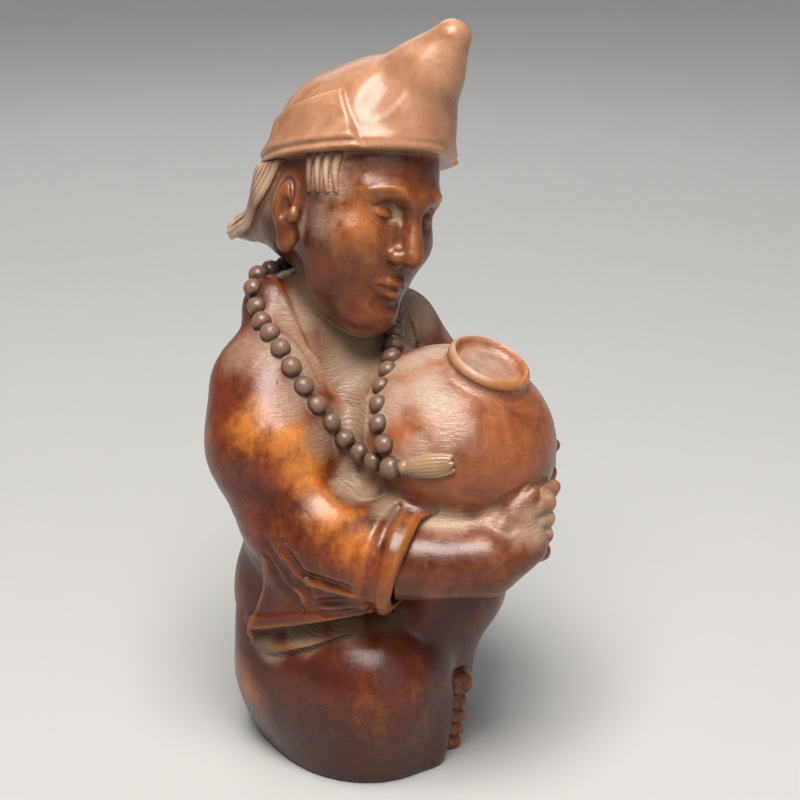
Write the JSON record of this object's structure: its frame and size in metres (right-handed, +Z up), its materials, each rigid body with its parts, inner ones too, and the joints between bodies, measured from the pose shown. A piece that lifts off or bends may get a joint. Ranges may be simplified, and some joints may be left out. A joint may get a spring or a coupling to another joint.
{
  "type": "seated monk statuette",
  "caption": "Carved wooden statuette of a seated monk in a soft pointed cap and loose robe, hugging a round jar; stands on its flat base as an ornament or paperweight.",
  "frame": {"origin": "on the flat resting face under the middle of the body", "axes": "+Z up, -Y the way the figure faces, -X its right hand"},
  "size_m": [0.0476, 0.0511, 0.0998],
  "materials": {
    "robe": "oiled and hand-polished red-brown, darker in the hollows",
    "skin": "oiled and hand-polished red-brown with amber wear",
    "cap": "polished, worn paler",
    "jar": "polished, with dust in the tool marks",
    "beads": "polished, dusty between the beads",
    "dowel": "plain split wood"
  },
  "bodies": {
    "root": {"robe_body": "robe", "right_sleeve": "robe", "left_sleeve": "robe", "right_forearm": "skin", "left_forearm": "skin", "right_foot": "skin", "head": "skin", "cap": "cap", "jar": "jar", "prayer_beads": "beads", "guru_bead": "beads", "tassel": "beads", "neck_dowel": "dowel", "cap_dowel": "dowel", "right_sleeve_dowels": "dowel", "left_sleeve_dowels": "dowel", "right_forearm_dowel": "dowel", "left_forearm_dowel": "dowel", "jar_dowel": "dowel", "foot_dowel": "dowel"}
  },
  "joints": []
}
